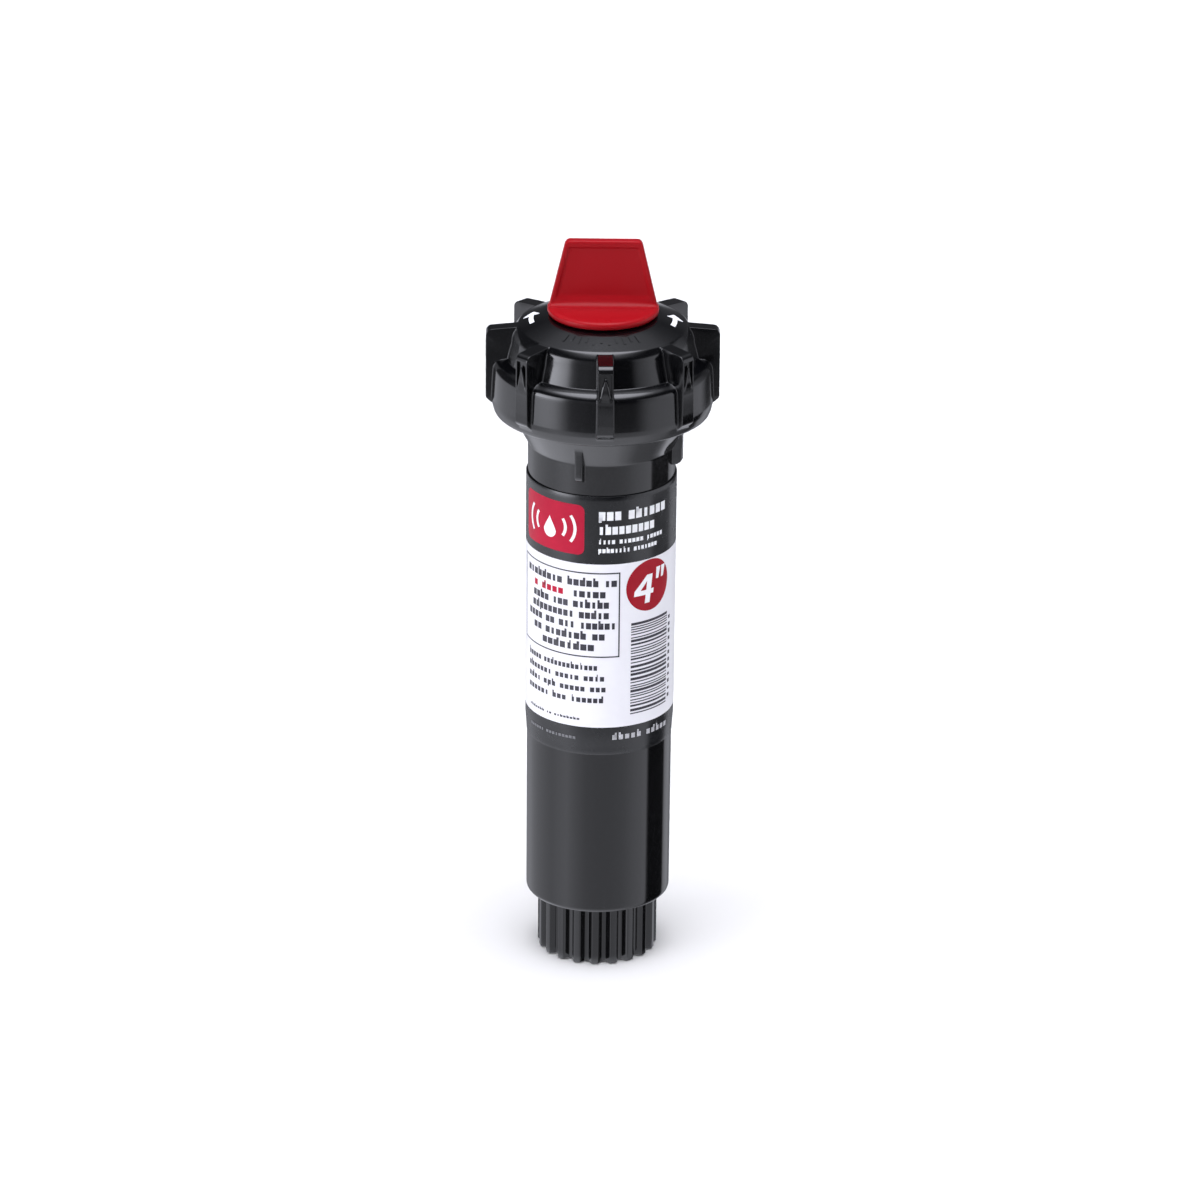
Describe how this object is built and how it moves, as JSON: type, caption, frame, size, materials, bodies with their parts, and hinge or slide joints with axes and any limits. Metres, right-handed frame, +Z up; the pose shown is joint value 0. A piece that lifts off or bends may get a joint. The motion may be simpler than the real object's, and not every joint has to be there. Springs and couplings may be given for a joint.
{
  "type": "pop up sprinkler",
  "caption": "Pop-up lawn spray body with screw cap, spring-retracted riser that lifts and turns, shut-off valve and red flush plug, on a ribbed pipe-thread inlet.",
  "frame": {"origin": "centre of the inlet's end face, on the surface that the sprinkler stands on", "axes": "+Z up along the body's axis, from the inlet to the flush plug; -Y is the front, which the label's title block and the plug's broad face look towards; +X is right seen from the front"},
  "size_m": [0.0554, 0.0554, 0.1817],
  "materials": {
    "case": "moulded, fine satin gloss",
    "cap": "moulded, fine satin gloss",
    "riser": "moulded, smooth",
    "label": "printed film, satin",
    "rubber": "matt",
    "inner_plastic": "moulded, matt",
    "valve_plastic": "moulded, natural",
    "spring_wire": "stainless wire",
    "plug": "moulded, satin"
  },
  "bodies": {
    "case": {"case_body": "case", "body_label": "label"},
    "seal_stack": {"cap_gasket": "rubber", "wiper_seal": "rubber", "seal_retainer": "inner_plastic", "spring_washer": "inner_plastic", "retract_spring": "spring_wire"},
    "cap": {"screw_cap": "cap"},
    "guide": {"ratchet_ring": "inner_plastic"},
    "riser": {"riser_tube": "riser", "riser_base": "inner_plastic", "shutoff_cage": "valve_plastic", "shutoff_seat": "valve_plastic", "shutoff_spring": "spring_wire"},
    "poppet": {"shutoff_poppet": "valve_plastic", "poppet_seal": "rubber"},
    "plug_washer": {"plug_gasket": "rubber"},
    "plug": {"flush_plug": "plug"}
  },
  "joints": [
    {"name": "cap_lift", "type": "slide", "parent": "case", "child": "seal_stack", "axis": [0, 0, 1], "range_m": [0, 0.009]},
    {"name": "cap_turn", "type": "hinge", "parent": "seal_stack", "child": "cap", "pos_m": [0, 0, 0.145], "axis": [0, 0, 1], "range_deg": [0, 1080.5]},
    {"name": "riser_pop", "type": "slide", "parent": "seal_stack", "child": "guide", "axis": [0, 0, 1], "range_m": [0, 0.1], "stiffness_N_per_m": 210, "springref_m": -0.043, "deforming": ["retract_spring"]},
    {"name": "riser_turn", "type": "hinge", "parent": "guide", "child": "riser", "pos_m": [0, 0, 0.09], "axis": [0, 0, 1], "continuous": true},
    {"name": "poppet_lift", "type": "slide", "parent": "riser", "child": "poppet", "axis": [0, 0, 1], "range_m": [0, 0.0035], "stiffness_N_per_m": 60, "springref_m": -0.01, "deforming": ["shutoff_spring"]},
    {"name": "plug_lift", "type": "slide", "parent": "riser", "child": "plug_washer", "axis": [0, 0, 1], "range_m": [0, 0.007]},
    {"name": "plug_turn", "type": "hinge", "parent": "plug_washer", "child": "plug", "pos_m": [0, 0, 0.16], "axis": [0, 0, 1], "range_deg": [0, 1260.5]}
  ],
  "couplings": [
    {"joint": "cap_turn", "follows": "cap_lift", "rad_per_m": 2094.4},
    {"joint": "plug_turn", "follows": "plug_lift", "rad_per_m": 3141.6}
  ]
}
